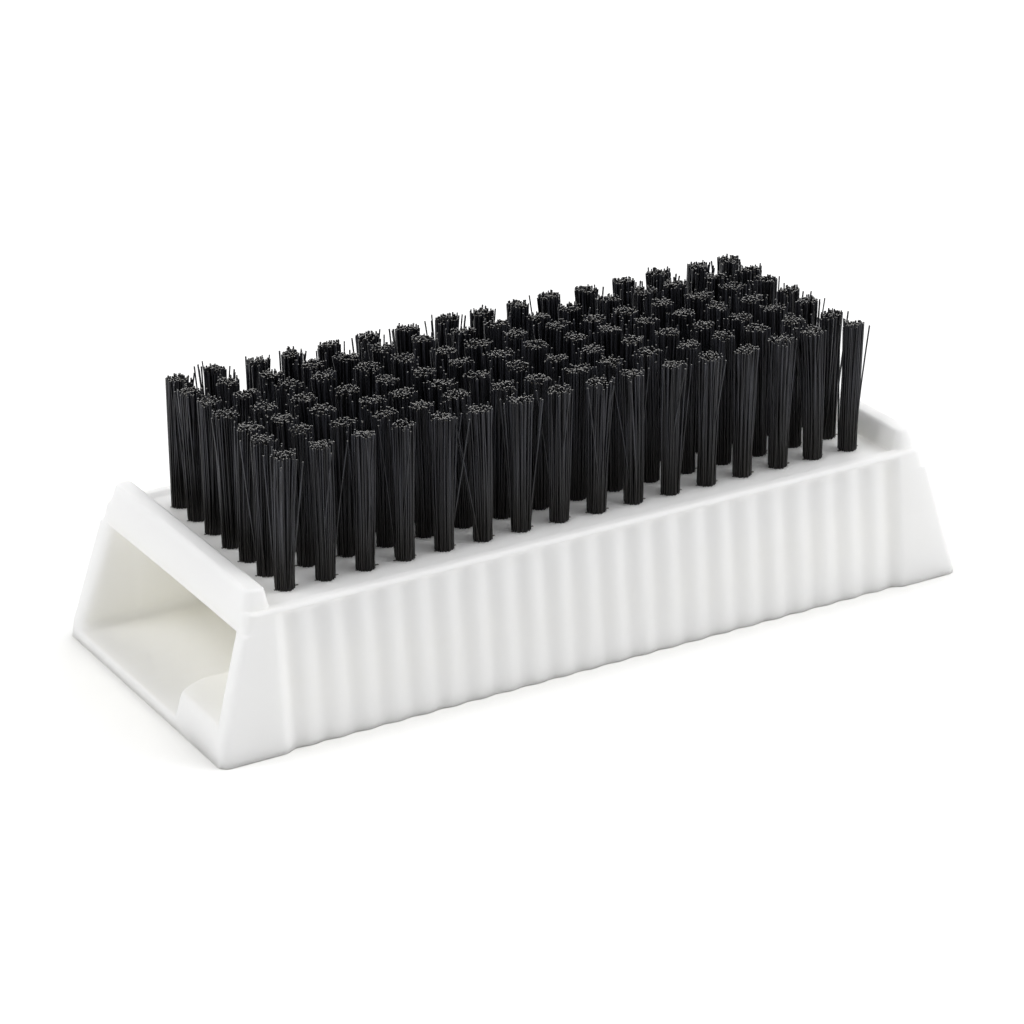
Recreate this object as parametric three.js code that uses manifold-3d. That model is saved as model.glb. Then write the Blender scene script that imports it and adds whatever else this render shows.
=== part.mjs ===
// Hand scrub brush for wheels: a one-piece moulded hollow body with fluted long sides, raised end bars
// and a recessed bristle face, set with a grid of stiff trimmed tufts.
// Millimetres, +Z up, origin at the middle of the underside, +X along the brush.
import * as THREE from "three";
import { mergeVertices } from "three/addons/utils/BufferGeometryUtils.js";
import Module from "manifold-3d";

// ---- body, outside -------------------------------------------------------------------------------
const BASE_LENGTH = 94.7;
const BASE_WIDTH = 38.2;
const END_LEAN = 0.305; // how far each end leans in for every millimetre of height
const BLOCK_END_LEAN = 0.25; // the same above the parting line, where the ends stand steeper
const SIDE_LEAN = 0.105; // the same for the long sides
const RIM_HEIGHT = 15.95; // top of the low rims beside the tufts
const RIM_WIDTH = 1.6;
const RIM_ROUND = 0.4;
const BASE_CORNER = 1.2; // upright corners: rounded at the foot, nearly sharp at the mould's parting line
const PARTING_CORNER = 0.2;
const PARTING_HEIGHT = 13.6; // parting line, which is also the top of the tunnel's mouth
const PARTING_STEP = 0.25;
const BLOCK_CORNER = 1.3; // above the parting line the corners are rounder, which leaves a small ledge

// ---- flutes in the long sides --------------------------------------------------------------------
const FLUTE_COUNT = 23;
const FLUTE_CLEAR = 0.85; // the flutes stop this far short of the block's round corners
const FLUTE_DEPTH = 0.55;
const FLUTE_FOOT_DEPTH = 0.28;
const FLUTE_GROWTH = 9.0; // height at which a flute reaches its full depth
const CREST_DROP = 0.4; // the ridges between flutes lie this far inside the plain margins
const FLUTE_RUNOUT = 1.0; // height over which a flute rounds out to nothing
const FLUTE_TOP = 15.5;
const FLUTE_STEPS = 6;

// ---- end bars ------------------------------------------------------------------------------------
const BAR_HEIGHT = 18.1;
const BAR_FOOT = 3.45; // thickness at the bristle face
const BAR_INSET = 0.5; // how far each end of a bar stands in from the long side
const BAR_TAPER = 0.3; // how much further in it stands at the top
const BAR_INNER_LEAN = 0.22;
const BAR_ROUND = 0.3;

// ---- tunnel --------------------------------------------------------------------------------------
const WALL = 2.6;
const MOUTH_ROUND = 1.3; // rounding of the walls' inner edges at each mouth
const FLOOR = 1.45;
const BLOCK_THICKNESS = 5.9; // plate that the tufts are set in
const HOOD = 4.7; // how far each mouth keeps its full height before the plate begins
const TUNNEL_CORNER = 1.0;
const RAIL_WIDTH = 10.35; // raised rail on the tunnel's floor, along the near wall
const RAIL_RISE = 2.5;
const RAIL_ROUND = 0.45;
const RAIL_RUN = 7.0; // length over which the rail narrows towards each mouth
const RAIL_NARROWING = 1.85;
const RAIL_CURVE = 2.2; // power of the curve it narrows by

// ---- tufts ---------------------------------------------------------------------------------------
const TUFT_COLUMNS = 16;
const TUFT_ROWS = 7;
const COLUMN_CLEAR = 3.6; // from the foot of a bar to the middle of the nearest column
const ROW_CLEAR = 3.45; // from the side of the tray to the middle of the nearest row
const TUFT_BASE = 2.25;
const TUFT_TIP = 3.1;
const TUFT_LENGTH = 15.1;
const TRIM_SPREAD = 0.5; // how unevenly the tips are cut
const TUFT_LEAN = 0.3; // how far a tuft's tip strays sideways
const TRAY_DEPTH = 0.45; // bristle face below the rims
const TRAY_CORNER = 2.0;
const STRANDS_PER_TUFT = 4;
const STRAND_SHARE = 0.62; // a strand's side, as a share of half its tuft
const FIELD_COUNT = 4; // the face is set in this many fields of whole columns
const FIELD_THICKNESS = 0.8;
const FIELD_MARGIN = 0.9; // face left beyond the outermost tufts in a field
const FIELD_GAP = 0.3;

const ARC_STEPS = 4;
const PAST = 2; // how far a cutting shape runs past what it cuts
const SINK = 0.3; // how far a strand's root runs into its field

// ---- sizes that follow ---------------------------------------------------------------------------
const TRAY_HEIGHT = RIM_HEIGHT - TRAY_DEPTH;
const CEILING = TRAY_HEIGHT - BLOCK_THICKNESS;
const halfLength = (z) => {
  const above = Math.max(0, z - PARTING_HEIGHT);
  return BASE_LENGTH / 2 - END_LEAN * (z - above) - BLOCK_END_LEAN * above;
};
const halfWidth = (z) => BASE_WIDTH / 2 - SIDE_LEAN * z;
const FLUTED_HALF = halfLength(BAR_HEIGHT) - BAR_ROUND - BLOCK_CORNER - FLUTE_CLEAR;
const FLUTE_PITCH = (2 * FLUTED_HALF) / FLUTE_COUNT;
const BAR_FOOT_X = halfLength(TRAY_HEIGHT) - BAR_FOOT;
const TRAY_HALF_WIDTH = halfWidth(RIM_HEIGHT) - RIM_WIDTH;
const COLUMN_PITCH = (2 * (BAR_FOOT_X - COLUMN_CLEAR)) / (TUFT_COLUMNS - 1);
const ROW_PITCH = (2 * (TRAY_HALF_WIDTH - ROW_CLEAR)) / (TUFT_ROWS - 1);
const FIELD_HALF_LENGTH = ((TUFT_COLUMNS - 1) * COLUMN_PITCH + TUFT_BASE) / 2 + FIELD_MARGIN;
const FIELD_HALF_WIDTH = ((TUFT_ROWS - 1) * ROW_PITCH + TUFT_BASE) / 2 + FIELD_MARGIN;

const wasm = await Module();
wasm.setup();

// ---- solids --------------------------------------------------------------------------------------

function solid(geometry) {
  geometry.deleteAttribute("normal");
  geometry.deleteAttribute("uv");
  const merged = mergeVertices(geometry, 1e-4);
  const vertProperties = new Float32Array(merged.attributes.position.array);
  const triVerts = new Uint32Array(merged.index.array);
  return new wasm.Manifold(new wasm.Mesh({ numProp: 3, vertProperties, triVerts }));
}

function geometryOf(manifold) {
  const mesh = manifold.getMesh();
  const indexed = new THREE.BufferGeometry();
  indexed.setAttribute("position", new THREE.BufferAttribute(mesh.vertProperties, mesh.numProp));
  indexed.setIndex(new THREE.BufferAttribute(mesh.triVerts, 1));
  const faceted = indexed.toNonIndexed();
  faceted.computeVertexNormals();
  return faceted;
}

// Skins a row of rings, each with the same number of points, and closes the first and the last. Seen
// from beyond the last ring, each one runs anticlockwise. onPlane drops a point to the rings' plane.
function skin(rings, onPlane) {
  const count = rings[0].length;
  const last = (rings.length - 1) * count;
  const faces = [];
  for (let start = 0; start < last; start += count) {
    for (let i = 0; i < count; i += 1) {
      const here = start + i;
      const next = start + ((i + 1) % count);
      faces.push(here, next, next + count, here, next + count, here + count);
    }
  }
  const closing = (ring) => THREE.ShapeUtils.triangulateShape(ring.map(onPlane), []);
  for (const [i, j, k] of closing(rings[0])) faces.push(k, j, i);
  for (const [i, j, k] of closing(rings.at(-1))) faces.push(last + i, last + j, last + k);
  const geometry = new THREE.BufferGeometry().setFromPoints(rings.flat());
  geometry.setIndex(faces);
  return solid(geometry);
}

const skinUpwards = (rings) => skin(rings, (p) => new THREE.Vector2(p.x, p.y));
const skinAlongBrush = (rings) => skin(rings, (p) => new THREE.Vector2(p.y, p.z));

function box(length, width, height, centre) {
  const geometry = new THREE.BoxGeometry(length, width, height);
  geometry.translate(centre.x, centre.y, centre.z);
  return solid(geometry);
}

// A quarter turn in equal steps, as cosine and sine.
const quarterTurn = Array.from({ length: ARC_STEPS + 1 }, (_, step) => {
  const angle = (step / ARC_STEPS) * (Math.PI / 2);
  return new THREE.Vector2(Math.cos(angle), Math.sin(angle));
});

// A level rectangle with rounded corners. sideXs adds points along both long sides, each set in by
// sideInset at its x.
function roundedRing(halfX, halfY, radius, z, sideXs = [], sideInset = () => 0) {
  const corner = (signX, signY) => {
    const arc = quarterTurn.map(({ x, y }) => {
      const fromX = signX * (halfX - radius + radius * x);
      return new THREE.Vector3(fromX, signY * (halfY - radius + radius * y), z);
    });
    return signX * signY > 0 ? arc : arc.reverse();
  };
  const side = (sign) => sideXs.map((x) => new THREE.Vector3(x, sign * (halfY - sideInset(x)), z));
  const near = [...corner(-1, -1), ...side(-1), ...corner(1, -1)];
  return [...near, ...corner(1, 1), ...side(1).reverse(), ...corner(-1, 1)];
}

// ---- body ----------------------------------------------------------------------------------------

const fluteXs = Array.from(
  { length: FLUTE_COUNT * FLUTE_STEPS + 1 },
  (_, i) => -FLUTED_HALF + (i * FLUTE_PITCH) / FLUTE_STEPS,
);

// How deep the fluting lies below the plain margins; the outermost half flutes rise to the margins. A
// flute deepens from the foot, and at its top it rounds out as a ball-nosed cutter leaves it.
function fluteInset(x, z) {
  const wave = (1 - Math.cos((2 * Math.PI * (x + FLUTED_HALF)) / FLUTE_PITCH)) / 2;
  const grown = Math.min(1, z / FLUTE_GROWTH);
  const depth = FLUTE_FOOT_DEPTH + (FLUTE_DEPTH - FLUTE_FOOT_DEPTH) * grown;
  const climbed = Math.max(0, (z - (FLUTE_TOP - FLUTE_RUNOUT)) / FLUTE_RUNOUT);
  const share = Math.sqrt(Math.max(0, 1 - climbed * climbed));
  const outermost = FLUTED_HALF - Math.abs(x) < FLUTE_PITCH / 2;
  return share * (outermost ? (CREST_DROP + depth) * wave : CREST_DROP + depth * wave);
}

// The outside as one block, up to the tops of the end bars.
function outside() {
  const ring = (z, radius, { endInset = 0, sideInset = 0 } = {}) => {
    const inset = (x) => fluteInset(x, z);
    return roundedRing(halfLength(z) - endInset, halfWidth(z) - sideInset, radius, z, fluteXs, inset);
  };
  const barEnd = BAR_INSET + BAR_TAPER;
  return skinUpwards([
    ring(0, BASE_CORNER),
    ring(FLUTE_GROWTH, BASE_CORNER + ((PARTING_CORNER - BASE_CORNER) * FLUTE_GROWTH) / PARTING_HEIGHT),
    ring(PARTING_HEIGHT, PARTING_CORNER),
    ring(PARTING_HEIGHT + PARTING_STEP, BLOCK_CORNER),
    ring(FLUTE_TOP - FLUTE_RUNOUT / 2, BLOCK_CORNER),
    ring(FLUTE_TOP - FLUTE_RUNOUT / 6, BLOCK_CORNER),
    ring(FLUTE_TOP, BLOCK_CORNER),
    ring(RIM_HEIGHT - RIM_ROUND * 0.7, BLOCK_CORNER),
    ring(RIM_HEIGHT - RIM_ROUND * 0.25, BLOCK_CORNER, { sideInset: RIM_ROUND * 0.25 }),
    ring(RIM_HEIGHT, BLOCK_CORNER, { sideInset: BAR_INSET }),
    ring(BAR_HEIGHT - BAR_ROUND, BLOCK_CORNER, { sideInset: barEnd }),
    ring(BAR_HEIGHT - BAR_ROUND * 0.3, BLOCK_CORNER, {
      endInset: BAR_ROUND * 0.3,
      sideInset: barEnd + BAR_ROUND * 0.3,
    }),
    ring(BAR_HEIGHT, BLOCK_CORNER, { endInset: BAR_ROUND, sideInset: barEnd + BAR_ROUND }),
  ]);
}

// The room above the bristle face: the tray between the rims, then the whole width between the bars.
function roomForBristles() {
  const ring = (z, halfY, flare = 0) => {
    const halfX = BAR_FOOT_X + BAR_INNER_LEAN * (z - TRAY_HEIGHT) + flare;
    return roundedRing(halfX, halfY, TRAY_CORNER, z);
  };
  return skinUpwards([
    ring(TRAY_HEIGHT, TRAY_HALF_WIDTH),
    ring(RIM_HEIGHT, TRAY_HALF_WIDTH),
    ring(RIM_HEIGHT, BASE_WIDTH),
    ring(BAR_HEIGHT - BAR_ROUND, BASE_WIDTH),
    ring(BAR_HEIGHT - BAR_ROUND * 0.3, BASE_WIDTH, BAR_ROUND * 0.3),
    ring(BAR_HEIGHT, BASE_WIDTH, BAR_ROUND),
    ring(BAR_HEIGHT + PAST, BASE_WIDTH, BAR_ROUND + PAST),
  ]);
}

// The pocket in the bristle face that the fields of tufts are let into.
function fieldPocket() {
  const length = 2 * (FIELD_HALF_LENGTH + FIELD_GAP);
  const width = 2 * (FIELD_HALF_WIDTH + FIELD_GAP);
  const middle = new THREE.Vector3(0, 0, TRAY_HEIGHT + (PAST - FIELD_THICKNESS) / 2);
  return box(length, width, FIELD_THICKNESS + PAST, middle);
}

// The tunnel's section. xAt places its points along the brush, so that a section can lie in the
// leaning plane of an end; widen is how far the side walls stand back from their usual line.
function tunnelSection(xAt, ceiling, widen = 0) {
  const side = (z) => halfWidth(z) - WALL + widen;
  const bend = FLOOR + TUNNEL_CORNER;
  const arc = quarterTurn.map(({ x, y }) => {
    const halfY = side(bend) - TUNNEL_CORNER * (1 - y);
    return new THREE.Vector2(halfY, bend - TUNNEL_CORNER * x);
  });
  const half = [...arc, new THREE.Vector2(side(ceiling), ceiling)];
  const point = (y, z) => new THREE.Vector3(xAt(z), y, z);
  return [...half.map(({ x, y }) => point(x, y)), ...half.reverse().map(({ x, y }) => point(-x, y))];
}

// The tunnel right through the brush. Over each mouth its ceiling steps up to the parting line, and the
// walls' inner edges are rounded there.
function tunnel() {
  const blockEnd = halfLength(TRAY_HEIGHT) - HOOD;
  const half = (sign) => {
    const rounded = quarterTurn.map(({ x, y }) => {
      const back = MOUTH_ROUND * (1 - y);
      const xAt = (z) => sign * (halfLength(z) - back);
      return tunnelSection(xAt, PARTING_HEIGHT, MOUTH_ROUND * (1 - x));
    });
    const beyond = tunnelSection((z) => sign * (halfLength(z) + PAST), PARTING_HEIGHT, MOUTH_ROUND);
    return [
      tunnelSection(() => sign * blockEnd, CEILING),
      tunnelSection(() => sign * blockEnd, PARTING_HEIGHT),
      ...rounded,
      beyond,
    ];
  };
  return skinAlongBrush([...half(-1).reverse(), ...half(1)]);
}

// The rail left standing on the tunnel's floor along the near wall.
function rail() {
  const wallY = -halfWidth(0);
  const insideY = -(halfWidth(FLOOR) - WALL);
  const top = FLOOR + RAIL_RISE;
  const section = (x) => {
    const nearness = Math.max(0, 1 - (halfLength(top) - Math.abs(x)) / RAIL_RUN);
    const edgeY = insideY + RAIL_WIDTH - RAIL_NARROWING * nearness ** RAIL_CURVE;
    const rounded = quarterTurn.map(({ x: cos, y: sin }) => {
      return new THREE.Vector3(x, edgeY - RAIL_ROUND * (1 - cos), top - RAIL_ROUND * (1 - sin));
    });
    const foot = [new THREE.Vector3(x, wallY, 0), new THREE.Vector3(x, edgeY, 0)];
    return [...foot, ...rounded, new THREE.Vector3(x, wallY, top)];
  };
  const half = BASE_LENGTH / 2;
  const inward = [0, 0.15, 0.35, 0.6, 1].map((share) => half - share * (half - halfLength(top) + RAIL_RUN));
  return skinAlongBrush([...inward.map((x) => -x), ...inward.reverse()].map(section));
}

function makeBody() {
  const solidBlock = outside().subtract(roomForBristles()).subtract(fieldPocket());
  return solidBlock.subtract(tunnel().subtract(rail()));
}

// ---- tufts ---------------------------------------------------------------------------------------

// A steady number from 0 to 1 for each whole number, so that no two tufts are cut or lean alike.
function stray(index) {
  const wave = Math.sin(index * 12.9898 + 4.1414) * 43758.5453;
  return wave - Math.floor(wave);
}

// One strand: a four-sided stem that stands upright in its field and spreads from its face to its tip.
function strand(foot, tip, footSide, tipSide) {
  const square = (centre, side) =>
    [[-1, -1], [1, -1], [1, 1], [-1, 1]].map(
      ([x, y]) => new THREE.Vector3(centre.x + (x * side) / 2, centre.y + (y * side) / 2, centre.z),
    );
  const root = foot.clone().setZ(foot.z - SINK);
  return skinUpwards([square(root, footSide), square(foot, footSide), square(tip, tipSide)]);
}

function tuftStrands(column, row) {
  const index = column * TUFT_ROWS + row;
  const centre = new THREE.Vector3(
    (column - (TUFT_COLUMNS - 1) / 2) * COLUMN_PITCH,
    (row - (TUFT_ROWS - 1) / 2) * ROW_PITCH,
    TRAY_HEIGHT,
  );
  const lean = new THREE.Vector3(2 * stray(index) - 1, 2 * stray(index + 500) - 1, 0);
  lean.multiplyScalar(TUFT_LEAN);
  const footSide = (TUFT_BASE / 2) * STRAND_SHARE;
  const tipSide = (TUFT_TIP / 2) * STRAND_SHARE;
  return Array.from({ length: STRANDS_PER_TUFT }, (_, i) => {
    const angle = (i + 0.5) * ((2 * Math.PI) / STRANDS_PER_TUFT);
    const out = new THREE.Vector3(Math.cos(angle), Math.sin(angle), 0);
    const foot = centre.clone().addScaledVector(out, TUFT_BASE / 2 - footSide * Math.SQRT1_2);
    const tip = centre.clone().add(lean).addScaledVector(out, TUFT_TIP / 2 - tipSide * Math.SQRT1_2);
    tip.z += TUFT_LENGTH - TRIM_SPREAD * stray(index * STRANDS_PER_TUFT + i + 1000);
    return strand(foot, tip, footSide, tipSide);
  });
}

// A field: a thin slice of the bristle face with whole columns of tufts set in it.
function makeField(field) {
  const length = (2 * FIELD_HALF_LENGTH - (FIELD_COUNT - 1) * FIELD_GAP) / FIELD_COUNT;
  const left = -FIELD_HALF_LENGTH + field * (length + FIELD_GAP);
  const middle = new THREE.Vector3(left + length / 2, 0, TRAY_HEIGHT - FIELD_THICKNESS / 2);
  let made = box(length, 2 * FIELD_HALF_WIDTH, FIELD_THICKNESS, middle);
  const columns = TUFT_COLUMNS / FIELD_COUNT;
  for (let column = field * columns; column < (field + 1) * columns; column += 1) {
    for (let row = 0; row < TUFT_ROWS; row += 1) {
      for (const stem of tuftStrands(column, row)) made = made.add(stem);
    }
  }
  return made;
}

// ---- the brush -----------------------------------------------------------------------------------

const whitePlastic = new THREE.MeshStandardMaterial({ color: 0xefeeea, roughness: 0.42, metalness: 0 });
const blackBristle = new THREE.MeshStandardMaterial({ color: 0x1a1b1e, roughness: 0.5, metalness: 0 });

function addPiece(group, name, manifold, material) {
  const mesh = new THREE.Mesh(geometryOf(manifold), material);
  mesh.name = name;
  group.add(mesh);
}

const brush = new THREE.Group();
addPiece(brush, "moulded_body", makeBody(), whitePlastic);
for (let field = 0; field < FIELD_COUNT; field += 1) {
  addPiece(brush, `tuft_field_${field + 1}`, makeField(field), blackBristle);
}

export default brush;
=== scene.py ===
"""A hand scrub brush for wheels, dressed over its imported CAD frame: a hollow white moulded body with fluted
sides and raised end bars, set with 112 tufts of black filaments. Blender 4.5, metres, +Z up."""

import math
import random

import bmesh
import bpy
from mathutils import Matrix, Vector


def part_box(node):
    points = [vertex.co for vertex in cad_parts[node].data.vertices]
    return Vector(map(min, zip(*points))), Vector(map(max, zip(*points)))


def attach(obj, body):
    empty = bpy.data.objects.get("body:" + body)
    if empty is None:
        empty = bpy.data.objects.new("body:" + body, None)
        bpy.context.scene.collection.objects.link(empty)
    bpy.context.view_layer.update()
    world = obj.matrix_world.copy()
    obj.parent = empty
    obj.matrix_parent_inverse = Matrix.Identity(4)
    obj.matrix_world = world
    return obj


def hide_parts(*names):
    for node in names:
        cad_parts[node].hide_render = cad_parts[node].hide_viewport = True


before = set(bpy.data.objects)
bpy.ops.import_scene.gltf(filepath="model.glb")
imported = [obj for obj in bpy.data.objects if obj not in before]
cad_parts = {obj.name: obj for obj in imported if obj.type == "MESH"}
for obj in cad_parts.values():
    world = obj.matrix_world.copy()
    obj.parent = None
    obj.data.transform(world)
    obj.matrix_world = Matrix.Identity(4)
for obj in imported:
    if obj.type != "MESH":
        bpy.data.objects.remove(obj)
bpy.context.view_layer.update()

MM = 0.001

# ---- sizes of the body, outside --------------------------------------------------------------------

BODY_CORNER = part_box("moulded_body")[1]
BASE_HALF_LENGTH = BODY_CORNER.x
BASE_HALF_WIDTH = BODY_CORNER.y
BAR_HEIGHT = BODY_CORNER.z
TRAY_HEIGHT = 15.5 * MM  # the bristle face
RIM_HEIGHT = 15.95 * MM
END_LEAN = 0.305
BLOCK_END_LEAN = 0.25  # above the parting line
SIDE_LEAN = 0.105
FOOT_ROUND = 0.06 * MM
END_FOOT_RISE = 1.4 * MM  # height over which the foot of an end curves in
END_FOOT_RUN = 0.5 * MM
RIM_ROUND = 0.4 * MM
RIM_WIDTH = 0.8 * MM  # flat top of a rim, from its rounded outer edge
TRAY_STEP = 0.75 * MM  # width of the soft step from a rim down to the bristle face
BASE_CORNER = 1.2 * MM
PARTING_CORNER = 0.5 * MM
PARTING_HEIGHT = 13.6 * MM
PARTING_STEP = 0.25 * MM
BLOCK_CORNER = 1.3 * MM
END_SAG = 0.3 * MM  # how far the top of an end sinks inwards, midway between its corners
END_SAG_FOOT = PARTING_HEIGHT - 5 * MM  # height at which the sag begins
END_SAG_REACH = (0.5 * MM, 2.5 * MM)  # past a bar's inner foot, where the sag begins and where it is full

BAR_INNER_FOOT = 39.28 * MM
BAR_INSET = 0.1 * MM  # from the rim's rounded edge to the foot of a bar's end
BAR_WALL_RUN = 0.5 * MM
BAR_ROUND = 0.4 * MM
BAR_CORNER = 1.3 * MM
BAR_FILLET = 0.25 * MM

FLUTE_COUNT = 23
FLUTE_HALF_RUN = 39.63 * MM
FLUTE_PITCH = 2 * FLUTE_HALF_RUN / FLUTE_COUNT
FLUTE_DEPTH = 0.36 * MM
FLUTE_FOOT_SHARE = 0.6  # how deep a flute is at the foot, of its full depth
FLUTE_GROWTH = 9.0 * MM  # height at which a flute is at its full depth
CREST_DROP = 0.4 * MM
FLUTE_TOP = 15.5 * MM
FLUTE_RUNOUT = 1.0 * MM

# ---- sizes of the tunnel -----------------------------------------------------------------------------

FLOOR = 1.45 * MM
WALL = 2.75 * MM
MOUTH_WALL = 2.65 * MM
MOUTH_DEPTH = 39.4 * MM  # past this x the tunnel's walls step back to the mouth's
MOUTH_STEP = 0.4 * MM  # length of that step
MOUTH_ROUND = 1.2 * MM
MOUTH_LIP = 0.3 * MM
TUNNEL_CORNER = 1.0 * MM
BLOCK_END = 38.0 * MM  # end of the thick plate that holds the tufts
BLOCK_END_STEP = 0.3 * MM
CEILING = 9.6 * MM
RAIL_EDGE = -5.55 * MM
RAIL_HEIGHT = 3.95 * MM
RAIL_ROUND = 0.45 * MM
RAIL_LIP = 0.6 * MM  # rounding of the rail's end at a mouth
RAIL_RUN = 3.6 * MM  # length over which the rail narrows towards a mouth
RAIL_NARROWING = 2.0 * MM
RAIL_TURN = 1.2  # power of that narrowing: 1 is a straight taper
RAIL_CORNER = 1.1 * MM
RAIL_FILLET = 0.3 * MM  # where the rail stands on the floor

# ---- sizes of the tufts ------------------------------------------------------------------------------

TUFT_COLUMNS = 16
TUFT_ROWS = 7
FIELD_COUNT = 4
COLUMN_PITCH = 4.76 * MM
ROW_PITCH = 4.125 * MM
TUFT_BASE = 2.24 * MM
TUFT_LENGTH = 15.1 * MM
FAN_ALONG = (1.12, 1.4)  # least and most spread of a tuft's tip along the brush, as shares of its foot
FAN_ACROSS = (0.98, 1.18)
TUFT_LEAN = 0.25 * MM  # spread of where a whole tuft's tip leans to
CUT_SLOPE = 0.05  # spread of the slope of a tuft's cut top
FILAMENTS = 96
FILAMENT_THICKNESS = 0.2 * MM
FILAMENT_POINTS = 6
HOLE_DEPTH = 0.4 * MM  # how far under the bristle face a filament starts
TIP_SPREAD = 0.14 * MM
TIP_CURL = 1.6  # power by which a filament bends out on its way up
STRAY_SHARE = 0.16
STRAY_SPREAD = 0.75 * MM
STRAY_CURL = 1.1
BOW_SPREAD = 0.06 * MM
CUT_SPREAD = 0.15 * MM  # how unevenly the filaments are cut
CUT_LIMIT = 0.35 * MM
WIRE_LENGTH = 2.85 * MM
WIRE_SHIFT = 0.12 * MM  # the wires sit off the middle of their tufts, so that one end shows more
WIRE_THICKNESS = 0.3 * MM
WIRE_DEPTH = 1.5 * MM
WIRE_RISE = 0.03 * MM  # how far a wire's edge stands above the bristle face
WIRE_EDGE = 0.05 * MM  # bevel along a wire's edges
WIRE_SPREAD = 0.08 * MM
WIRE_TURN = 0.06  # spread of a wire's turn, in radians


# ---- small helpers -----------------------------------------------------------------------------------


def smoothstep(value, low, high):
    share = min(1.0, max(0.0, (value - low) / (high - low)))
    return share * share * (3 - 2 * share)


def fillet_inset(distance, radius):
    """How far a rounded edge lies inside its sharp corner, at a distance from that corner."""
    if distance >= radius:
        return 0.0
    return radius - math.sqrt(max(0.0, radius**2 - (radius - distance) ** 2))


def soft_max(a, b, blend):
    """The larger of two heights, with a fillet where they meet."""
    overlap = max(0.0, blend - abs(a - b))
    return max(a, b) + overlap * overlap / (4 * blend)


def half_length(z):
    """How far each end stands from the middle, at a height."""
    above = max(0.0, z - PARTING_HEIGHT)
    foot = END_FOOT_RUN * fillet_inset(z, END_FOOT_RISE) / END_FOOT_RISE
    return BASE_HALF_LENGTH - END_LEAN * (z - above) - BLOCK_END_LEAN * above - foot


def half_width(z):
    return BASE_HALF_WIDTH - SIDE_LEAN * z


def steps(low, high, count):
    """Even steps from low to high, with both of them in the list."""
    return [low + (high - low) * i / count for i in range(count + 1)]


def mesh_of(bm, name):
    mesh = bpy.data.meshes.new(name)
    bm.to_mesh(mesh)
    bm.free()
    return mesh


def new_object(name, data):
    made = bpy.data.objects.new(name, data)
    bpy.context.scene.collection.objects.link(made)
    return made


def new_piece(name, mesh, material, slot, *nodes):
    piece = new_object(name, mesh)
    mesh.materials.append(material)
    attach(piece, "root")
    if nodes:
        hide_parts(*nodes)


SAME_PLACE = 1e-7  # corners that are closer than this are one, in metres


def sleeve(bm, stations, stops, place):
    """A closed sleeve of quads along the brush: place(station, stop) says where each corner goes."""
    made = bmesh.ops.create_grid(bm, x_segments=len(stations) - 1, y_segments=len(stops), size=0.5)
    for vert in made["verts"]:
        column = round((vert.co.x + 0.5) * (len(stations) - 1))
        row = round((vert.co.y + 0.5) * len(stops)) % len(stops)
        vert.co = place(stations[column], stops[row])
    bmesh.ops.remove_doubles(bm, verts=made["verts"], dist=SAME_PLACE)


# ---- shader maths ------------------------------------------------------------------------------------


class Value:
    """A shader socket that can be added and multiplied."""

    def __init__(self, shader, socket):
        self.shader = shader
        self.socket = socket

    def maths(self, operation, *inputs):
        return self.shader.node("ShaderNodeMath", {"operation": operation}, dict(enumerate(inputs)))

    def __add__(self, other):
        return self.maths("ADD", self, other)

    def __radd__(self, other):
        return self.maths("ADD", other, self)

    def __mul__(self, other):
        return self.maths("MULTIPLY", self, other)

    def __rmul__(self, other):
        return self.maths("MULTIPLY", other, self)

    def ramp(self, low, high):
        """0 below low, 1 above high, and a smooth rise between."""
        settings = {"interpolation_type": "SMOOTHSTEP"}
        return self.shader.node("ShaderNodeMapRange", settings, {0: self, 1: low, 2: high}, "Result")


class Shader:
    """The node tree of a material or of the world, built one node at a time."""

    def __init__(self, owner):
        self.owner = owner
        owner.use_nodes = True
        self.tree = owner.node_tree
        self.tree.nodes.clear()

    def node(self, kind, settings=None, inputs=None, output=0):
        made = self.tree.nodes.new(kind)
        for name, setting in (settings or {}).items():
            setattr(made, name, setting)
        for key, value in (inputs or {}).items():
            if isinstance(value, Value):
                self.tree.links.new(value.socket, made.inputs[key])
            else:
                made.inputs[key].default_value = value
        return Value(self, made.outputs[output]) if made.outputs else None

    def noise(self, position, scale, detail=2.0):
        """Noise from 0 to 1. Its scale is about the number of grains to one unit of the position."""
        inputs = {"Vector": position, "Scale": scale, "Detail": detail}
        return self.node("ShaderNodeTexNoise", {"normalize": True}, inputs, "Fac")

    def mix(self, share, first, second):
        """Two colours mixed. They are sockets 6 and 7 of a Mix node."""
        settings = {"data_type": "RGBA"}
        return self.node("ShaderNodeMix", settings, {0: share, 6: first, 7: second}, 2)

    def split(self, vector, axis):
        return self.node("ShaderNodeSeparateXYZ", None, {"Vector": vector}, axis)

    def object_position(self):
        return self.node("ShaderNodeTexCoord", None, None, "Object")

    def stretched(self, position, scale):
        return self.node("ShaderNodeMapping", None, {"Vector": position, "Scale": scale})

    def bump(self, height, strength, distance):
        inputs = {"Height": height, "Strength": strength, "Distance": distance}
        return self.node("ShaderNodeBump", None, inputs)

    def surface(self, **inputs):
        named = {key.replace("_", " ").title().replace("Ior", "IOR"): v for key, v in inputs.items()}
        return self.node("ShaderNodeBsdfPrincipled", None, named)

    def finish(self, surface, output="ShaderNodeOutputMaterial"):
        self.node(output, None, {"Surface": surface})

    def seen_directly(self):
        """1 for rays from the camera and for those that a gloss or a clear surface sends on, else 0."""
        kinds = ("Is Camera Ray", "Is Glossy Ray", "Is Transmission Ray")
        camera, gloss, clear = (self.node("ShaderNodeLightPath", None, None, kind) for kind in kinds)
        return camera.maths("MAXIMUM", camera.maths("MAXIMUM", camera, gloss), clear)


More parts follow.
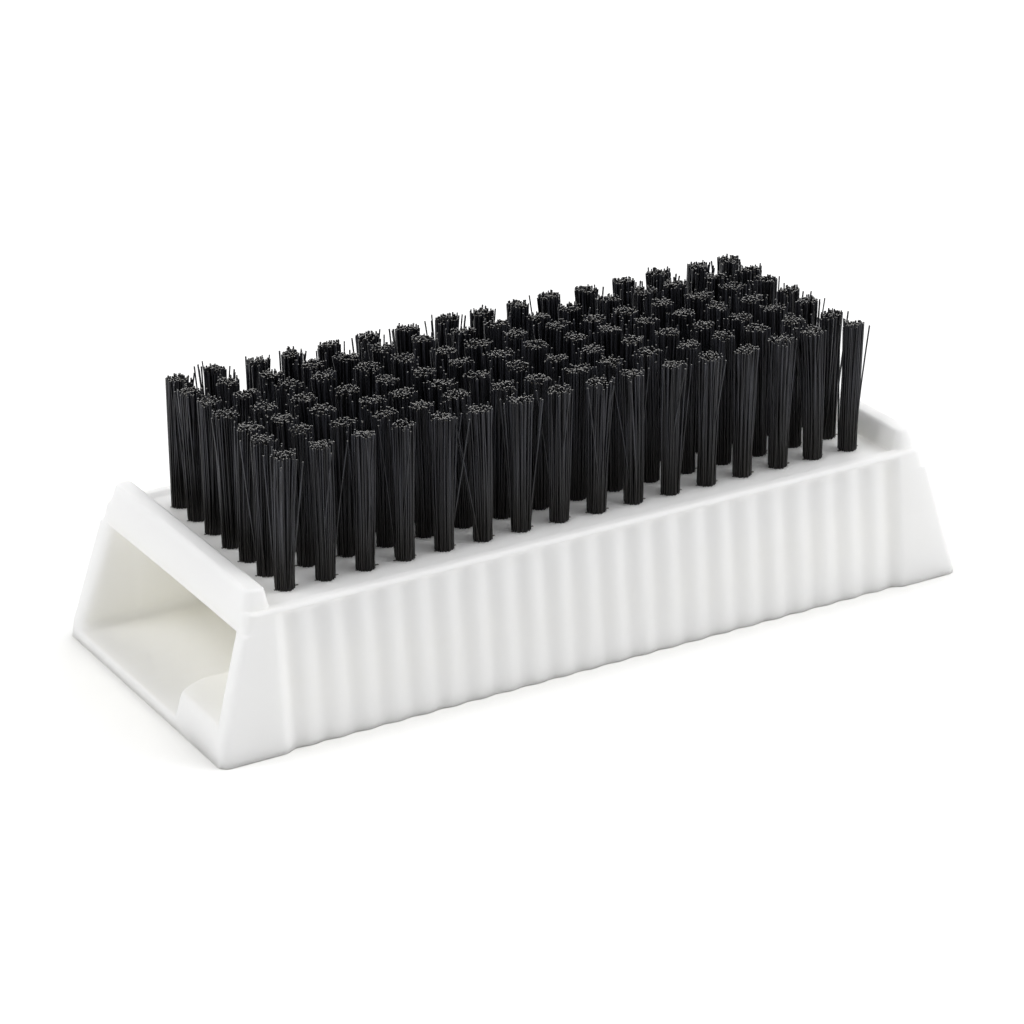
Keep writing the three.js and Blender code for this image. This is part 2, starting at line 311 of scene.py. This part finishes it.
def linear(red, green, blue):
    """An sRGB colour from 0 to 255 as the linear colour that nodes use."""

    def channel(value):
        share = value / 255
        return share / 12.92 if share <= 0.04045 else ((share + 0.055) / 1.055) ** 2.4

    return (channel(red), channel(green), channel(blue), 1.0)


# ---- finishes ----------------------------------------------------------------------------------------


CUT_END_RISE = (TRAY_HEIGHT + 12 * MM, TRAY_HEIGHT + 13 * MM)  # every cut end lies higher than this
SHADE_TO_SHEEN_RISE = (TRAY_HEIGHT + 1 * MM, TRAY_HEIGHT + 9 * MM)  # the painted shade at the tufts' foot, darker and browner, turns into the lighter, bluer painted sheen over this rise


def white_plastic():
    """Slightly warm white moulded plastic: satin, a little translucent, with a faintly uneven skin."""
    shader = Shader(bpy.data.materials.new("white_plastic"))
    place = shader.object_position()
    clouds = shader.noise(place, 90, 3.0)
    flow = shader.noise(shader.stretched(place, (60, 260, 260)), 1.0, 2.0)
    grain = shader.noise(place, 2600, 2.0)
    tone = shader.mix(clouds.ramp(0.3, 0.7), linear(253, 252, 246), linear(255, 254, 249))
    dusty = shader.mix(flow.ramp(0.55, 0.8) * 0.35, tone, linear(250, 248, 240))
    skin = shader.bump(grain * 0.3 + flow * 0.7, 0.12, 0.05 * MM)
    shader.finish(
        shader.surface(
            base_color=dusty,
            roughness=0.5 + clouds * 0.12,
            specular_ior_level=0.3,
            subsurface_weight=1.0,
            subsurface_radius=(1.0, 1.0, 1.0),
            subsurface_scale=2.2 * MM,
            normal=skin,
        )
    )
    return shader.owner


def black_nylon():
    """Black drawn filament, with painted shade that makes it darker and browner at the foot and a painted
    sheen that makes it lighter and bluer above, and a pale, ragged cut end.
    """
    shader = Shader(bpy.data.materials.new("black_nylon"))
    place = shader.object_position()
    along = shader.noise(shader.stretched(place, (3200, 3200, 40)), 1.0, 1.0)
    specks = shader.noise(place, 5200, 1.0)
    facing_up = shader.split(shader.node("ShaderNodeNewGeometry", None, None, "Normal"), "Z")
    height = shader.split(place, "Z")
    cut_end = facing_up.ramp(0.75, 0.9) * height.ramp(*CUT_END_RISE)
    streak = along.ramp(0.35, 0.7)
    # painted shade: darker, browner filaments at the foot, where the tufts and the tray shade them
    foot = shader.mix(streak, linear(15, 14, 13), linear(31, 29, 27))
    # painted sheen: lighter, bluer filaments higher up, standing in for reflected light
    painted_sheen = shader.mix(streak, linear(20, 20, 23), linear(55, 56, 62))
    black = shader.mix(height.ramp(*SHADE_TO_SHEEN_RISE), foot, painted_sheen)
    pale = shader.mix(specks.ramp(0.42, 0.7), linear(38, 36, 33), linear(104, 100, 91))
    shader.finish(
        shader.surface(
            base_color=shader.mix(cut_end, black, pale),
            roughness=0.26 + along * 0.16,
            specular_ior_level=0.36,
        )
    )
    return shader.owner


def dull_wire():
    """Flat drawn steel wire, dulled."""
    shader = Shader(bpy.data.materials.new("dull_wire"))
    drawn = shader.noise(shader.stretched(shader.object_position(), (200, 6000, 6000)), 1.0, 1.0)
    tone = shader.mix(drawn, linear(70, 68, 64), linear(112, 108, 100))
    shader.finish(shader.surface(base_color=tone, metallic=0.9, roughness=0.4 + drawn * 0.2))
    return shader.owner


# ---- the moulded body --------------------------------------------------------------------------------


def flute_inset(x, z):
    """How far the side lies inside its plain margin at x, in the flutes and on the ridges between."""
    if abs(x) >= FLUTE_HALF_RUN:
        return 0.0
    climbed = max(0.0, (z - FLUTE_TOP + FLUTE_RUNOUT) / FLUTE_RUNOUT)
    share = math.sqrt(max(0.0, 1 - climbed * climbed))
    wave = (1 - math.cos(2 * math.pi * (x + FLUTE_HALF_RUN) / FLUTE_PITCH)) / 2
    full = FLUTE_DEPTH * (FLUTE_FOOT_SHARE + (1 - FLUTE_FOOT_SHARE) * min(1.0, z / FLUTE_GROWTH))
    outermost = FLUTE_HALF_RUN - abs(x) < FLUTE_PITCH / 2
    depth = (CREST_DROP + full) * wave if outermost else CREST_DROP + full * wave
    return share * depth


def corner_radius(z):
    """Upright corners: round at the foot, nearly sharp at the parting line, rounder again above it."""
    if z < PARTING_HEIGHT:
        return PARTING_CORNER + (BASE_CORNER - PARTING_CORNER) * (1 - z / PARTING_HEIGHT)
    step = smoothstep(z, PARTING_HEIGHT, PARTING_HEIGHT + PARTING_STEP)
    return PARTING_CORNER + (BLOCK_CORNER - PARTING_CORNER) * step


def side_y(x, z, back):
    return half_width(z) - flute_inset(x, z) - fillet_inset(back, corner_radius(z))


def bar_height(inside):
    """Height of a bar's surface, at a distance inside its foot."""
    shoulder = BAR_HEIGHT - BAR_ROUND
    if inside < BAR_WALL_RUN:
        return TRAY_HEIGHT + (shoulder - TRAY_HEIGHT) * inside / BAR_WALL_RUN
    return BAR_HEIGHT - fillet_inset(inside - BAR_WALL_RUN, BAR_ROUND)


def top_height(x, from_edge, back):
    """Height of the top at x, at a distance inwards from the rim's rounded edge."""
    step = smoothstep(from_edge, RIM_WIDTH, RIM_WIDTH + TRAY_STEP)
    face = RIM_HEIGHT + (TRAY_HEIGHT - RIM_HEIGHT) * step
    along = abs(x) - BAR_INNER_FOOT
    across = from_edge - BAR_INSET
    inside = min(along, across)
    if max(along, across) < BAR_CORNER and inside > 0:
        inside = BAR_CORNER - math.hypot(BAR_CORNER - along, BAR_CORNER - across)
    if inside > 0:
        face = soft_max(face, bar_height(inside), BAR_FILLET)
    return face - fillet_inset(back, BAR_ROUND)


class EndStations:
    """Stations along the brush: upright ones along the middle, and leaning ones that close up on the
    leaning plane of each end. A station is a distance from the middle, where 1 mm past the last
    upright station stands for the end itself."""

    def __init__(self, upright, leaning):
        self.last = upright[-1]
        positive = upright[1:] + [self.last + share * MM for share in leaning]
        self.all = [-s for s in reversed(positive)] + [upright[0]] + positive

    def place(self, station, z):
        """x at a height, and the distance back from the end."""
        share = (abs(station) - self.last) / MM
        if share <= 0:
            return station, half_length(z) - abs(station)
        x = self.last + share * (half_length(z) - self.last)
        return math.copysign(x, station), half_length(z) - x


# Stations along half the brush: upright ones first, then shares of what is left to the leaning end. They
# are closest together in the flutes, at the tuft plate's step and in the rounded edge of the end.
END_SHARES = [0.60, 0.70, 0.78, 0.84, 0.88, 0.91, 0.935, 0.955, 0.97, 0.982, 0.99, 0.996, 1.0]
OUTSIDE_UPRIGHT = steps(0, 38.6 * MM, 224)  # to just short of the end bars
OUTSIDE_LEANING = steps(0.02, 0.5, 24) + END_SHARES
TUNNEL_PLAIN = steps(0, BLOCK_END - BLOCK_END_STEP - 0.1 * MM, 14)
TUNNEL_STEP = steps(BLOCK_END - BLOCK_END_STEP, BLOCK_END + 0.1 * MM, 8)
TUNNEL_LEANING = steps(0.05, 0.5, 12) + END_SHARES

SETTLING_ROUNDS = 3  # x and a height depend on each other near a leaning end, and settle in turn


def outside_stops():
    """Where the outline across the brush has its corners, from the middle of the underside up the near
    side to the middle of the bristle face, and the same on the far side."""
    under = [("under", share) for share in (0.0, 0.35, 0.7, 0.9, 0.97)]
    foot = [("foot", angle) for angle in steps(0, math.pi / 2, 3)]
    plain = [2.0 * MM, 5.0 * MM, 8.0 * MM, 11.0 * MM, 12.8 * MM]
    parting = steps(PARTING_HEIGHT - 0.1 * MM, PARTING_HEIGHT + PARTING_STEP, 5)
    runout = steps(FLUTE_TOP - FLUTE_RUNOUT, FLUTE_TOP, 12)
    side = [("side", z) for z in plain + parting + runout[1:]]
    edge = [("edge", angle) for angle in steps(0, math.pi / 2, 6)]
    fine = [0.04, 0.1, 0.16, 0.22, 0.3, 0.38, 0.46, 0.54, 0.6, 0.65, 0.67, 0.7, 0.75, 0.82]
    step = [0.9, 1.0, 1.1, 1.2, 1.3, 1.4, 1.5, 1.6]
    wide = [1.9, 2.4, 3.2, 4.5, 7.0, 10.0, 13.5]
    top = [("top", distance * MM) for distance in fine + step + wide]
    half = under + foot + side + edge + top
    near = [(kind, value, -1) for kind, value in half]
    far = [(kind, value, 1) for kind, value in half[1:]]
    return near + [("top", None, 0)] + far[::-1]


def sagged(place):
    """Sinks the upper part of each end, most at its middle."""
    across = 1 - (place.y / BASE_HALF_WIDTH) ** 2
    share = across * smoothstep(place.z, END_SAG_FOOT, BAR_HEIGHT)
    share *= smoothstep(abs(place.x) - BAR_INNER_FOOT, *END_SAG_REACH)
    place.x -= math.copysign(END_SAG * share, place.x)
    return place


def outside_place(stations, station, stop):
    kind, value, hand = stop
    if kind in ("top", "edge"):
        z = BAR_HEIGHT if abs(station) > BAR_INNER_FOOT else TRAY_HEIGHT
        for _ in range(SETTLING_ROUNDS):
            x, back = stations.place(station, z)
            shoulder = RIM_HEIGHT - RIM_ROUND
            edge_y = side_y(x, shoulder, back)
            if kind == "edge":
                rise = RIM_ROUND * math.sin(value)
                z = shoulder + rise * (1 - fillet_inset(back, BAR_ROUND) / RIM_ROUND)
                y = edge_y - RIM_ROUND * (1 - math.cos(value))
            else:
                from_edge = edge_y - RIM_ROUND if value is None else value
                y = edge_y - RIM_ROUND - from_edge
                z = top_height(x, from_edge, back)
        return Vector((x, hand * y, z))
    if kind == "side":
        x, back = stations.place(station, value)
        return Vector((x, hand * side_y(x, value, back), value))
    angle = value if kind == "foot" else 0.0
    share = value if kind == "under" else 1.0
    z = FOOT_ROUND * (1 - math.cos(angle))
    x, back = stations.place(station, z)
    z = max(z, fillet_inset(back, FOOT_ROUND))
    x, back = stations.place(station, z)
    y = side_y(x, z, back) - FOOT_ROUND * (1 - math.sin(angle))
    return Vector((x, hand * y * share, z))


def outside_sleeve(bm):
    stations = EndStations(OUTSIDE_UPRIGHT, OUTSIDE_LEANING)
    sleeve(bm, stations.all, outside_stops(), lambda s, stop: sagged(outside_place(stations, s, stop)))


# ---- the tunnel --------------------------------------------------------------------------------------


def wall_y(x, z, back):
    mouth = smoothstep(abs(x), MOUTH_DEPTH, MOUTH_DEPTH + MOUTH_STEP)
    return half_width(z) - WALL + (WALL - MOUTH_WALL) * mouth + fillet_inset(back, MOUTH_ROUND)


def rail_edge(back):
    """y of the rail's edge, which turns towards the near wall at each mouth."""
    narrowing = RAIL_NARROWING * max(0.0, 1 - back / RAIL_RUN) ** RAIL_TURN
    return RAIL_EDGE - narrowing - fillet_inset(back, RAIL_CORNER)


def floor_height(x, y, back):
    """The floor, with its rounded foot at each wall, and the rail along the near one."""
    to_wall = wall_y(x, FLOOR, back) - abs(y)
    floor = FLOOR + fillet_inset(max(0.0, to_wall), TUNNEL_CORNER)
    inside = rail_edge(back) - y
    if inside >= 0:
        rail = RAIL_HEIGHT - fillet_inset(inside, RAIL_ROUND) - fillet_inset(back, RAIL_LIP)
        floor = soft_max(floor, rail, RAIL_FILLET)
    return floor - fillet_inset(back, MOUTH_LIP)


def ceiling_height(x, back):
    """The tuft plate's underside, and past the plate the mouth's higher roof."""
    step = smoothstep(abs(x), BLOCK_END - BLOCK_END_STEP, BLOCK_END)
    return CEILING + (PARTING_HEIGHT - CEILING) * step + fillet_inset(back, MOUTH_LIP)


def tunnel_stops():
    """Corners of the tunnel's outline: over the rail, its edge and the floor to the far wall, up that
    wall, back under the ceiling and down the near wall."""
    rail = [("rail", share) for share in (0, 0.003, 0.01, 0.025, 0.045, 0.07, 0.1, 0.25, 0.5, 0.75, 0.9)]
    brink = [("brink", gap * MM) for gap in (-0.5, -0.4, -0.3, -0.2, -0.12, -0.05, -0.01, 0, 0.01, 0.3)]
    floor = [("floor", share) for share in (0.1, 0.3, 0.5, 0.7, 0.85, 0.93, 0.95, 0.97, 0.985, 0.995, 1)]
    far_wall = [("wall", share, 1) for share in (0.04, 0.15, 0.35, 0.6, 0.85, 0.97)]
    ceiling = [("ceiling", -share) for share in (-1, -0.99, -0.95, -0.6, 0, 0.6, 0.95, 0.99, 1)]
    near_wall = [("wall", share, -1) for share in (0.97, 0.85, 0.6, 0.35, 0.15, 0.04)]
    return rail + brink + floor + far_wall + ceiling + near_wall


def tunnel_place(stations, station, stop):
    kind, value = stop[0], stop[1]
    z = PARTING_HEIGHT if kind == "ceiling" else FLOOR
    for _ in range(SETTLING_ROUNDS):
        x, back = stations.place(station, z)
        if kind in ("rail", "brink", "floor"):
            wall = wall_y(x, FLOOR, back)
            edge = rail_edge(back)
            across = {
                "rail": value * edge - (1 - value) * wall,
                "brink": edge + value,
                "floor": value * wall + (1 - value) * edge,
            }
            y = across[kind]
            z = floor_height(x, y, back)
        elif kind == "ceiling":
            z = ceiling_height(x, back)
            y = value * wall_y(x, z, back)
        else:
            foot = floor_height(x, stop[2] * wall_y(x, FLOOR, back), back)
            z = foot + value * (ceiling_height(x, back) - foot)
            y = stop[2] * wall_y(x, z, back)
    return Vector((x, y, z))


def tunnel_sleeve(bm):
    stations = EndStations(TUNNEL_PLAIN + TUNNEL_STEP, TUNNEL_LEANING)
    sleeve(bm, stations.all, tunnel_stops(), lambda s, stop: sagged(tunnel_place(stations, s, stop)))


def close_end(bm, hand):
    """Fills the leaning end between the outline of the body and that of the tunnel's mouth."""
    rims = [e for e in bm.edges if e.is_boundary and e.verts[0].co.x * hand > 0]
    bmesh.ops.triangle_fill(bm, use_beauty=True, edges=rims)


def moulded_body(material):
    bm = bmesh.new()
    outside_sleeve(bm)
    tunnel_sleeve(bm)
    for hand in (-1, 1):
        close_end(bm, hand)
    bmesh.ops.recalc_face_normals(bm, faces=bm.faces)
    mesh = mesh_of(bm, "body")
    mesh.shade_smooth()
    new_piece("body", mesh, material, "white_plastic", "moulded_body")


# ---- the tufts ---------------------------------------------------------------------------------------


def tuft_centre(column, row):
    x = (column - (TUFT_COLUMNS - 1) / 2) * COLUMN_PITCH
    y = (row - (TUFT_ROWS - 1) / 2) * ROW_PITCH
    return Vector((x, y, TRAY_HEIGHT))


def scattered(chance, spread):
    return Vector((chance.gauss(0, spread), chance.gauss(0, spread), 0))


def filament_path(chance, centre, place, tip, trim):
    """Points up one filament, from inside its hole to its cut end. A few stray from the foot up."""
    strays = chance.random() < STRAY_SHARE
    tip = tip + scattered(chance, STRAY_SPREAD if strays else TIP_SPREAD)
    bow = scattered(chance, BOW_SPREAD)
    curl = STRAY_CURL if strays else TIP_CURL
    height = TUFT_LENGTH + trim + min(CUT_LIMIT, chance.gauss(0, CUT_SPREAD))
    points = []
    for share in steps(0, 1, FILAMENT_POINTS - 1):
        across = place + (tip - place) * share**curl + bow * math.sin(math.pi * share)
        points.append(centre + across + Vector((0, 0, (height + HOLE_DEPTH) * share - HOLE_DEPTH)))
    return points


def tuft_filaments(column, row):
    chance = random.Random(column * TUFT_ROWS + row)
    centre = tuft_centre(column, row)
    lean = scattered(chance, TUFT_LEAN)
    slope = scattered(chance, CUT_SLOPE)
    fan = Vector((chance.uniform(*FAN_ALONG), chance.uniform(*FAN_ACROSS), 0))
    reach = (TUFT_BASE - FILAMENT_THICKNESS) / 2
    golden_angle = math.pi * (3 - math.sqrt(5))
    paths = []
    for i in range(FILAMENTS):
        radius = reach * math.sqrt((i + 0.5) / FILAMENTS)
        angle = i * golden_angle
        place = Vector((radius * math.cos(angle), radius * math.sin(angle), 0))
        paths.append(filament_path(chance, centre, place, place * fan + lean, slope.dot(place)))
    return paths


def tuft_field(number, material):
    """One field of whole columns of tufts, each filament a thin four-sided rod with closed ends."""
    curve = bpy.data.curves.new("filaments", "CURVE")
    curve.dimensions = "3D"
    curve.bevel_depth = FILAMENT_THICKNESS / 2
    curve.bevel_resolution = 0
    curve.use_fill_caps = True
    columns = TUFT_COLUMNS // FIELD_COUNT
    for column in range(number * columns, (number + 1) * columns):
        for row in range(TUFT_ROWS):
            for path in tuft_filaments(column, row):
                spline = curve.splines.new("POLY")
                spline.points.add(len(path) - 1)
                for point, place in zip(spline.points, path):
                    point.co = (*place, 1)
    rods = bpy.data.objects.new("rods", curve)
    mesh = bpy.data.meshes.new_from_object(rods)
    bpy.data.objects.remove(rods)
    bpy.data.curves.remove(curve)
    mesh.shade_smooth()
    new_piece(f"bristles_{number + 1}", mesh, material, "black_bristle", f"tuft_field_{number + 1}")


def anchor_wires(material):
    """The flat wires across the tufts' holes, of which only the two ends show beside each tuft."""
    chance = random.Random(7)
    bm = bmesh.new()
    for column in range(TUFT_COLUMNS):
        for row in range(TUFT_ROWS):
            turn = Matrix.Rotation(chance.gauss(0, WIRE_TURN), 4, "Z")
            shift = Vector((WIRE_SHIFT + chance.gauss(0, WIRE_SPREAD), 0, WIRE_RISE - WIRE_DEPTH / 2))
            size = Matrix.Diagonal((WIRE_LENGTH, WIRE_THICKNESS, WIRE_DEPTH, 1))
            place = Matrix.Translation(tuft_centre(column, row) + shift) @ turn @ size
            bmesh.ops.create_cube(bm, size=1, matrix=place)
    bmesh.ops.bevel(
        bm, geom=bm.edges, offset=WIRE_EDGE, segments=1, profile=0.5, affect="EDGES", material=-1
    )
    new_piece("anchor_wires", mesh_of(bm, "anchor_wires"), material, "black_bristle")


# ---- the stage ---------------------------------------------------------------------------------------


SKY_LIGHT = 0.2
FLOOR_HALF_SIDE = 3.0
FLOOR_WHITE = (0.9, 0.9, 0.9, 1)
FLOOR_GLOW = 0.2
SHADE_REACH = 9 * MM  # how far from the foot the glow is dimmed, which paints a contact shadow there
WHITE = (1, 1, 1, 1)
LIGHT_BOUNCES = 12  # white walls pass light on many times inside the tunnel
CAMERA_ANGLES = (-30.373, 23.997, -0.357)  # azimuth, elevation and roll, in degrees
CAMERA_PLACE = (-0.189088, -0.320958, 0.177002)
CAMERA_LENS = 128.34  # focal length, in mm
CAMERA_SENSOR = 36  # width of the sensor, in mm

# Each lamp's name, size, power in watts, place and target.
LAMPS = (
    ("right", (0.5, 0.5), 2.2, (0.62, -0.38, 0.32), (0, 0, 0.01)),
    ("back", (0.8, 0.4), 2.4, (0.3, 0.74, 0.4), (0, 0, 0.01)),
    ("high_left", (0.6, 0.6), 3.7, (-0.57, 0.08, 0.57), (-0.03, 0, 0.01)),
    ("high_right", (0.7, 0.7), 3.0, (0.4, -0.1, 0.7), (0, 0, 0)),
)


def make_floor():
    """A matt white floor. To the camera it glows a little, but not in the angle under the brush's foot, where
    the dimmed glow is a painted contact shadow.
    """
    shader = Shader(bpy.data.materials.new("floor"))
    openness = shader.node("ShaderNodeAmbientOcclusion", {"samples": 16}, {"Distance": SHADE_REACH}, "AO")
    # painted shadow: the glow fades where the floor is hemmed in by the brush's foot
    glow = shader.seen_directly() * openness.ramp(0.55, 1.0) * FLOOR_GLOW
    matt = shader.node("ShaderNodeBsdfDiffuse", None, {"Color": FLOOR_WHITE})
    light = shader.node("ShaderNodeEmission", None, {"Color": WHITE, "Strength": glow})
    shader.finish(shader.node("ShaderNodeAddShader", None, {0: matt, 1: light}))
    bm = bmesh.new()
    bmesh.ops.create_grid(bm, x_segments=1, y_segments=1, size=FLOOR_HALF_SIDE)
    mesh = mesh_of(bm, "floor")
    mesh.materials.append(shader.owner)
    new_object("floor", mesh)


def make_lamp(name, size, power, place, target):
    lamp = bpy.data.lights.new(name, "AREA")
    lamp.shape = "RECTANGLE"
    lamp.size, lamp.size_y = size
    lamp.energy = power
    holder = new_object(name, lamp)
    holder.location = place
    holder.rotation_euler = (Vector(target) - Vector(place)).to_track_quat("-Z", "Y").to_euler()


def make_sky():
    """White where it is seen, and a weak even light elsewhere."""
    world = bpy.data.worlds.new("studio")
    bpy.context.scene.world = world
    shader = Shader(world)
    strength = SKY_LIGHT + shader.seen_directly() * (1 - SKY_LIGHT)
    sky = shader.node("ShaderNodeBackground", None, {"Color": WHITE, "Strength": strength})
    shader.finish(sky, "ShaderNodeOutputWorld")


def make_camera():
    """The photograph's view, with its slight roll, from the place it was taken."""
    azimuth, elevation, roll = (math.radians(angle) for angle in CAMERA_ANGLES)
    back = Vector((
        math.sin(azimuth) * math.cos(elevation),
        -math.cos(azimuth) * math.cos(elevation),
        math.sin(elevation),
    ))
    right = (-back).cross(Vector((0, 0, 1))).normalized()
    turn = Matrix.Rotation(roll, 3, back)
    right = turn @ right
    up = back.cross(right)
    lens = bpy.data.cameras.new("camera")
    lens.sensor_width = CAMERA_SENSOR
    lens.lens = CAMERA_LENS
    lens.clip_start = 0.01
    camera = new_object("camera", lens)
    camera.matrix_world = Matrix((right, up, back)).transposed().to_4x4()
    camera.location = CAMERA_PLACE
    bpy.context.scene.camera = camera


make_camera()
make_floor()
make_sky()
for lamp in LAMPS:
    make_lamp(*lamp)
bpy.context.scene.view_settings.view_transform = "Standard"
bpy.context.scene.cycles.diffuse_bounces = LIGHT_BOUNCES

plastic = white_plastic()
nylon = black_nylon()
moulded_body(plastic)
for number in range(FIELD_COUNT):
    tuft_field(number, nylon)
anchor_wires(dull_wire())
